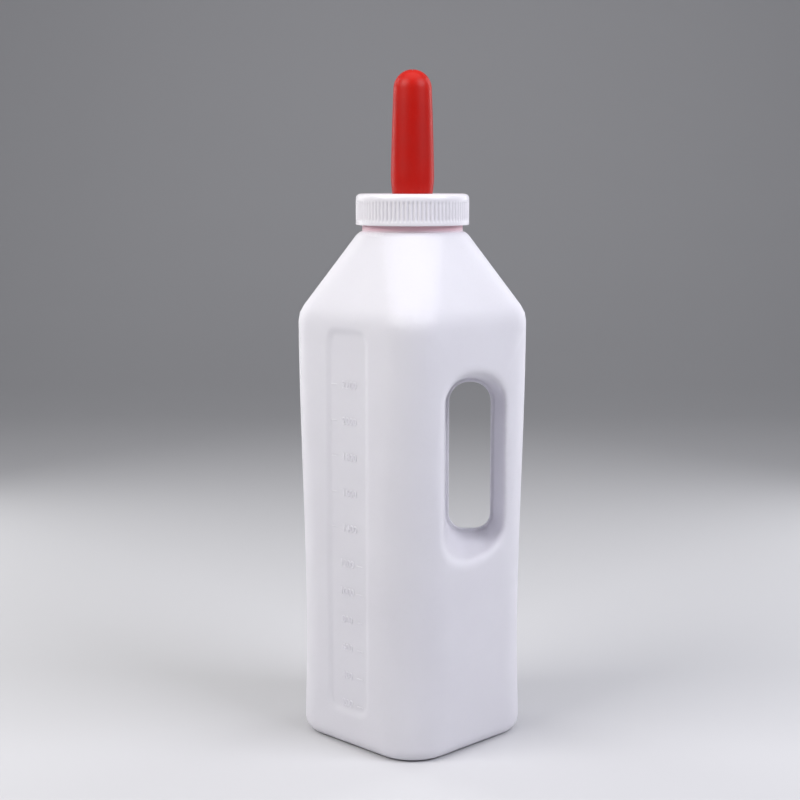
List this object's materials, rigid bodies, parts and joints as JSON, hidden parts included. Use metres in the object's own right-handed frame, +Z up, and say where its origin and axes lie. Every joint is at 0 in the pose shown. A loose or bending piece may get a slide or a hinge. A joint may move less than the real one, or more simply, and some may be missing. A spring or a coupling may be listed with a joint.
{
  "type": "calf feeding bottle",
  "caption": "Square calf feeding bottle with a built-in side grip, a ribbed screw cap, a long rubber teat and a check valve in the neck.",
  "frame": {"origin": "centre of the base, on the surface that the bottle stands on", "axes": "+Z up along the neck and the teat, +X towards the corner that carries the grip, and the mould's parting plane is XZ"},
  "size_m": [0.1376, 0.1376, 0.4055],
  "materials": {
    "hdpe_bottle": "translucent natural polyethylene, satin",
    "white_cap": "opaque white moulded polypropylene",
    "red_rubber": "smooth dipped rubber, satin",
    "valve_plastic": "moulded white plastic, fine matt",
    "valve_rubber": "thin matt rubber sheet"
  },
  "bodies": {
    "bottle": {"bottle_body": "hdpe_bottle"},
    "head": {"teat": "red_rubber", "valve_plate": "valve_plastic", "valve_retainer": "valve_plastic"},
    "cap": {"screw_cap": "white_cap"},
    "valve_disc": {"check_disc": "valve_rubber"}
  },
  "joints": [
    {"name": "head_rise", "type": "slide", "parent": "bottle", "child": "head", "axis": [0, 0, 1], "range_m": [0, 0.00625]},
    {"name": "cap_turn", "type": "hinge", "parent": "head", "child": "cap", "pos_m": [0, 0, 0.32], "axis": [0, 0, 1], "range_deg": [0, 450]},
    {"name": "valve_lift", "type": "slide", "parent": "head", "child": "valve_disc", "axis": [0, 0, 1], "range_m": [0, 0.003]}
  ],
  "couplings": [
    {"joint": "cap_turn", "follows": "head_rise", "rad_per_m": 1256.6}
  ]
}
